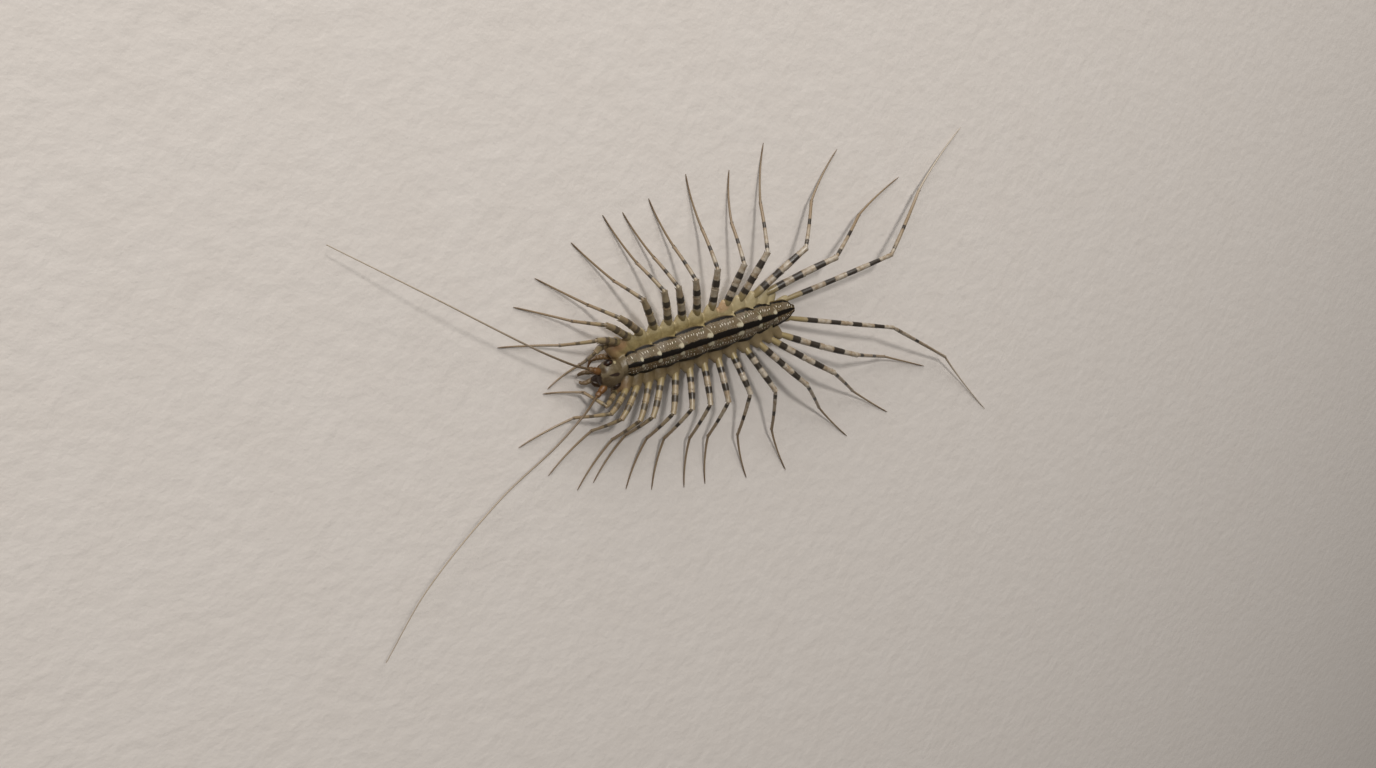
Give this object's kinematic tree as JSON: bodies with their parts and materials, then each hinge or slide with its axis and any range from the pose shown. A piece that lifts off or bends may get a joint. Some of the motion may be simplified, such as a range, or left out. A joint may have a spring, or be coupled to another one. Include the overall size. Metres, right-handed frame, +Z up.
{
  "type": "house centipede",
  "caption": "Life-size still model of a house centipede: a low plated body on a fan of long banded legs, with thread-like feelers and trailing hind legs.",
  "frame": {"origin": "On the floor, at the middle of the whole footprint from feeler tips to trailing leg tips.", "axes": "+X points to the head along the trunk, +Y to the animal's left side, +Z up from the floor it stands on."},
  "size_m": [0.0931, 0.0464, 0.0055],
  "materials": {
    "back": "glossy horn-like shell, taupe with near-black lengthwise stripes",
    "head": "satin olive-brown shell",
    "eye": "glossy black, finely faceted",
    "leg": "satin pale tan shell with near-black bands",
    "feeler": "matte tan, finely ringed",
    "claw": "glossy rust-brown shell",
    "palp": "satin orange-brown shell"
  },
  "bodies": {
    "root": {"trunk_1": "back", "trunk_2": "back", "trunk_3": "back", "trunk_4": "back", "trunk_5": "back", "trunk_6": "back", "trunk_7": "back", "trunk_8": "back", "head": "head", "eye_right": "eye", "eye_left": "eye", "feeler_right_base": "feeler", "feeler_right_whip": "feeler", "poison_claw_right": "claw", "palp_right": "palp", "feeler_left_base": "feeler", "feeler_left_whip": "feeler", "poison_claw_left": "claw", "palp_left": "palp", "leg_right_01": "leg", "leg_right_02": "leg", "leg_right_03": "leg", "leg_right_04": "leg", "leg_right_05": "leg", "leg_right_06": "leg", "leg_right_07": "leg", "leg_right_08": "leg", "leg_right_09": "leg", "leg_right_10": "leg", "leg_right_11": "leg", "leg_right_12": "leg", "leg_right_13": "leg", "leg_right_15": "leg", "leg_right_15_whip": "leg", "leg_left_01": "leg", "leg_left_02": "leg", "leg_left_03": "leg", "leg_left_04": "leg", "leg_left_05": "leg", "leg_left_06": "leg", "leg_left_07": "leg", "leg_left_08": "leg", "leg_left_09": "leg", "leg_left_10": "leg", "leg_left_11": "leg", "leg_left_12": "leg", "leg_left_13": "leg", "leg_left_14": "leg", "leg_left_15": "leg", "leg_left_15_whip": "leg"}
  },
  "joints": []
}
